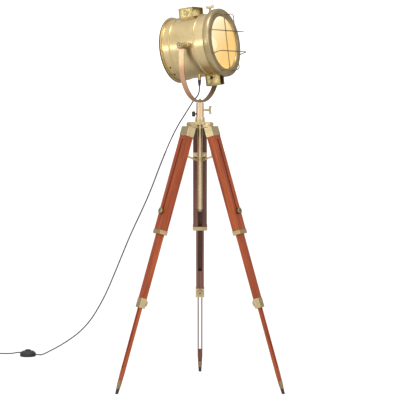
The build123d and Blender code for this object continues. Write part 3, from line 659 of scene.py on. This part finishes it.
# Painted shade: a dark brown brass for the back rim wire, also used on the bottom hood's peg.
shaded_edge_brass = drum_brass("shaded_edge_brass", tone(120, 100, 66), tone(84, 68, 44), 0.4)
hood_brass = drum_brass("hood_brass", tone(206, 188, 134), tone(168, 148, 96), 0.34)
# Painted shade: the dark inside of the hoods and the peephole, mottled at random.
hood_inner_shade = Finish("hood_inner_shade", metallic=0.3)
shade_mottle = hood_inner_shade.noise(hood_inner_shade.place(), 60, 3)
hood_inner_shade.vary(base_color=hood_inner_shade.between(shade_mottle, tone(58, 48, 36), tone(34, 28, 22)), roughness=shade_mottle * 0.2 + 0.6)
hood_inner_shade.bump(shade_mottle, 0.0003, 0.3)
SKIN, DRUM = 0.0015, 0.113


def bead(middle):
    """The half-round rib pressed out of the sheet."""
    ring = []
    for step in range(9):
        angle = math.pi * step / 8
        ring.append((middle - 0.0031 * math.cos(angle), DRUM - 0.0001 + 0.0028 * math.sin(angle)))
    return ring


shell_outline = [(-0.101, DRUM - SKIN), (-0.101, DRUM), *bead(-0.067), (-0.04, DRUM), (-0.01, DRUM), (0.015, DRUM),
                 *bead(0.035), (0.06, DRUM), (0.091, DRUM), (0.091, DRUM - SKIN), (-0.101, DRUM - SKIN)]
settle(turned("drum_skin", shell_outline, 160), drum_place, sheet_brass, "drum", "drum_shell", slot="brass_sheet",
       crease=50)
for side, hand in (("far", 1), ("near", -1)):
    settle(turned(f"trunnion_{side}", [(0, POINT), (0, 0.0128), (0.0016, 0.0128), (0.0026, 0.0104), (0.0235, 0.0098),
                                       (0.024, 0.0085), (0.024, 0.0039), (0.037, 0.0039), (0.037, POINT)], 48),
           standing(in_drum(hand * 0.1125, 0, 0), ACROSS * hand), ring_brass, "drum", slot="brass_sheet")
cover_outline = [(-0.0968, 0.1131), (-0.0968, 0.1185), (-0.0975, 0.1203), (-0.0992, 0.1215), (-0.1028, 0.1215),
                 (-0.1052, 0.1198), (-0.106, 0.118), (-0.1085, 0.107), (-0.1105, 0.094), (-0.1128, 0.076),
                 (-0.1142, 0.058), (-0.1153, 0.038), (-0.1159, 0.018), (-0.116, POINT)]
cover = turned("back_cover_spun", cover_outline, 160)
settle(cover, drum_place, sheet_brass, "drum", "back_cover", slot="brass_sheet")
# The rolled rim wire is painted in the dark brass as painted shade.
settle(turned("back_rim_wire", [(-0.0986, 0.1213), (-0.0992, 0.1222), (-0.1006, 0.1227), (-0.1022, 0.1222),
                                (-0.103, 0.1213), (-0.0986, 0.1213)], 160),
       drum_place, shaded_edge_brass, "drum", slot="brass_sheet")
for turn_down in (52.2, 33.8):
    swing = math.radians(turn_down)
    out = -ACROSS * math.sin(swing) - UPWARD * math.cos(swing)
    settle(turned(f"cover_screw_{round(turn_down)}", [(-0.0008, 0.0034), (0.0007, 0.0034), (0.0018, 0.0028),
                                                      (0.0022, 0.0016), (0.0022, POINT)], 28),
           standing(PIVOT + FORWARD * -0.0845 + out * DRUM, out), dark_steel, "drum", slot="dark_screw")
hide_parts("drum_screws")

# ---- Front ring, glass and guard ----
# A heavy turned bezel holds the glass. Four round rods stand off it on bent legs, two level and two
# upright, tied where they cross.
ring_outline = [(0.078, DRUM + 0.0002), (0.0784, 0.1205), (0.0792, 0.1228), (0.081, 0.1246), (0.0832, 0.1255),
                (0.0975, 0.1255), (0.1, 0.125), (0.1022, 0.1237), (0.1036, 0.1218), (0.1046, 0.116), (0.105, 0.108),
                (0.105, 0.1015), (0.1044, 0.0993), (0.1028, 0.0972), (0.1008, 0.0963), (0.0975, 0.0962),
                (0.0972, 0.101), (0.0975, 0.1105), (0.0972, 0.12), (0.084, 0.12), (0.078, DRUM + 0.0002)]
settle(turned("front_bezel", ring_outline, 160), drum_place, ring_brass, "drum", "front_ring", slot="brass_sheet",
       crease=40)
rod_brass = brass("rod_brass", tone(158, 140, 104), tone(116, 100, 72), 0.34)
paint(rod_brass, "cage")
clear_glass = Finish("clear_glass", roughness=0.02, transmission_weight=1.0, ior=1.2)
clear_glass.vary(base_color=tone(252, 252, 250))
paint(clear_glass, "lens_glass")

# ---- Lamp inside the drum ----
# A spun reflector and a frosted globe bulb in a brass holder, both given a painted glow of light.


def painted_glow_finish(name, strong):
    """A surface that glows with painted light, white up and to the near side and amber down and to the far side."""
    finish = Finish(name, roughness=0.4, emission_strength=strong)
    spot = finish.place((0, 0, 0), (1, 1, 1), tuple(-PIVOT))
    lean = finish.node("ShaderNodeVectorMath", {"operation": "DOT_PRODUCT"},
                       {0: spot, 1: tuple(ACROSS * 0.9 - UPWARD * 0.5 + FORWARD * 0.5)}, 1)
    cloud = finish.noise(spot, 9, 2)
    painted_glow_tone = finish.ramp(lean * 5.5 + cloud * 0.2 + 0.1, (0.05, tone(255, 255, 252)), (0.34, tone(252, 234, 190)),
                       (0.8, tone(248, 198, 112)))
    finish.vary(base_color=tone(70, 62, 50), emission_color=painted_glow_tone)
    return finish


# Painted light: the reflector and bulb glow by emission instead of being lit.
bowl = painted_glow_finish("painted_glow_reflector", 1.1)
paint(bowl, "reflector")
paint(painted_glow_finish("painted_glow_bulb", 1.15), "bulb")
paint(band_brass, "lamp_holder")

# ---- Vent hoods ----
# Two folded brass boxes cover the drum's air slots, a wide one on top and a narrow one below. Each
# is open at its front and back, and painted dark inside as painted shade.


def hood(name, back, front, half_width, top, foot, hand, node):
    """A folded sheet hood: a box with its front, back and drum side cut away, then given its wall."""
    unselect()
    bpy.ops.mesh.primitive_cube_add(size=1, location=(0, hand * (top + foot) / 2, (front + back) / 2),
                                    scale=(2 * half_width, top - foot, front - back))
    cover = bpy.context.object
    cover.name = name
    bpy.ops.object.transform_apply(location=True, rotation=True, scale=True)
    bpy.ops.object.mode_set(mode="EDIT")
    bpy.ops.mesh.select_mode(type="FACE")
    bpy.ops.mesh.select_all(action="DESELECT")
    bpy.ops.object.mode_set(mode="OBJECT")
    for face in cover.data.polygons:
        face.select = abs(face.normal.z) > 0.9 or face.normal.y * hand < -0.9
    bpy.ops.object.mode_set(mode="EDIT")
    bpy.ops.mesh.delete(type="FACE")
    bpy.ops.mesh.select_all(action="SELECT")
    bpy.ops.mesh.subdivide(number_cuts=3)
    bpy.ops.object.mode_set(mode="OBJECT")
    for vertex in cover.data.vertices:
        if abs(vertex.co.x) > half_width * 0.98:
            low = math.sqrt(DRUM ** 2 - half_width ** 2) - 0.0004
            share = (abs(vertex.co.y) - foot) / (top - foot)
            vertex.co.y = hand * (low + share * (top - low))
    wall = cover.modifiers.new("wall", "SOLIDIFY")
    wall.thickness, wall.offset, wall.material_offset = SKIN, -1, 1
    bpy.ops.object.modifier_apply(modifier="wall")
    fold = cover.modifiers.new("fold", "BEVEL")
    fold.width, fold.segments, fold.angle_limit = 0.0008, 2, math.radians(60)
    bpy.ops.object.modifier_apply(modifier="fold")
    cover.data.materials.append(hood_brass.material)
    # The wall's inner faces take the painted shade.
    cover.data.materials.append(hood_inner_shade.material)
    settle(cover, drum_place, hood_brass, "drum", node, slot="brass_sheet", crease=30)


hood("top_hood", -0.051, 0.008, 0.041, 0.145, 0.104, 1, "vent_top")
hood("bottom_hood", 0.016, 0.076, 0.0165, 0.151, 0.111, -1, "vent_bottom")
settle(turned("hood_boss", [(-0.0002, 0.0112), (0.0022, 0.011), (0.0029, 0.0102), (0.003, 0.0085), (0.0024, 0.0072),
                            (0.0022, POINT)], 48),
       standing(in_drum(-0.0409, 0.126, -0.021), -ACROSS), hood_brass, "drum", slot="brass_sheet")
# The peephole is painted dark as painted shade.
settle(turned("hood_peephole", [(0.0001, 0.0049), (0.0005, 0.0058), (0.0002, 0.0064), (0.0001, 0.0049),
                                (0.00005, POINT)], 32),
       standing(in_drum(-0.0166, -0.122, 0.0415), -ACROSS), hood_inner_shade, "drum", slot="brass_sheet")
# The peg takes the same dark painted-shade brass.
settle(turned("hood_peg", [(0, 0.0021), (0.0014, 0.0019), (0.0018, 0.0011), (0.0018, POINT)], 20),
       standing(in_drum(-0.0164, -0.1222, 0.0535), -ACROSS), shaded_edge_brass, "drum", slot="dark_screw")

# ---- Cord gland ----
# A short brass stub under the drum, and the black ribbed sleeve that tapers down on to the cord.
gland_foot, straight_down = (-0.002, -0.039, 1.138), (0, 0, -1)
settle(turned("gland_stub", [(-0.012, POINT), (-0.012, 0.006), (0.024, 0.006), (0.0252, 0.0068), (0.0268, 0.0068),
                             (0.0268, POINT)], 40),
       standing((*gland_foot[:2], 1.165), straight_down), band_brass, "drum", slot="brass_sheet")
sleeve_outline = [(0, POINT), (0, 0.0064)]
for rib in range(4):
    top, wide = 0.0012 + rib * 0.0038, 0.0066 - rib * 0.0004
    sleeve_outline += [(top, wide), (top + 0.0023, wide - 0.0001), (top + 0.0027, wide - 0.0008),
                       (top + 0.0034, wide - 0.0009)]
sleeve_outline += [(0.0172, 0.0048), (0.0225, 0.003), (0.0225, 0.0022)]
sleeve_black = Finish("sleeve_black", specular_ior_level=0.4)
sleeve_mottle = sleeve_black.noise(sleeve_black.place(), 200, 3)
sleeve_black.vary(base_color=sleeve_black.between(sleeve_mottle, tone(40, 40, 43), tone(66, 66, 70)))
sleeve_black.vary(roughness=sleeve_mottle * 0.2 + 0.35)
sleeve_black.bump(sleeve_mottle, 0.0002, 0.3)
settle(turned("gland_sleeve", sleeve_outline, 40), standing(gland_foot, straight_down), sleeve_black,
       "drum", "gland", slot="gland")

# ---- Foot switch and plug ----
# A round black moulded case lies on the floor with a push button in its middle, and the cord enters
# and leaves through ribbed sleeves. The plug is a flat moulded body with two round pins.
moulded = Finish("moulded_black", specular_ior_level=0.5)
grit = moulded.noise(moulded.place(), 260, 3)
moulded.vary(base_color=moulded.between(grit, tone(28, 28, 29), tone(50, 49, 49)), roughness=grit * 0.2 + 0.32)
moulded.bump(moulded.noise(moulded.place(), 1400, 2), 0.0002, 0.3)
paint(moulded, "plug")
dome_outline = [(0, POINT), (0, 0.0305), (0.0006, 0.032), (0.0022, 0.033), (0.0085, 0.033), (0.0092, 0.0322),
                (0.0098, 0.0322), (0.0104, 0.0328)]
for step in range(1, 9):
    angle = math.radians(step * 10.5)
    dome_outline.append((0.0104 + 0.0136 * math.sin(angle), 0.0135 + 0.0193 * math.cos(angle)))
dome_outline += [(0.024, 0.0126), (0.0234, 0.0121), (0.0095, 0.0121), (0.0095, POINT)]
on_floor = standing((*switch_spot.xy, 0), (0, 0, 1))
switch_pieces = [settle(turned("switch_dome", dome_outline, 96), on_floor, moulded, "hub", "switch_case",
                        slot="cord")]
button_outline = [(0.014, POINT), (0.014, 0.0117), (0.0262, 0.0117), (0.0278, 0.011), (0.0287, 0.0096),
                  (0.029, 0.008), (0.0286, 0.004), (0.0285, POINT)]
switch_pieces.append(settle(turned("push_button", button_outline, 64), on_floor, moulded, "switch_button",
                            "switch_button", slot="dark_knob"))
ribbed = [(0, POINT), (0, 0.0052)]
for rib in range(4):
    near, wide = 0.002 + rib * 0.0034, 0.0052 - rib * 0.0005
    ribbed += [(near, wide), (near + 0.0018, wide), (near + 0.0022, wide - 0.0009), (near + 0.0031, wide - 0.0009)]
ribbed += [(0.016, 0.0031), (0.0168, 0.0026)]
for side, hand in (("in", 1), ("out", -1)):
    switch_pieces.append(settle(turned(f"switch_sleeve_{side}", ribbed, 32),
                                standing(switch_spot + switch_aim * hand * 0.0265, switch_aim * hand), moulded,
                                "hub", slot="cord"))
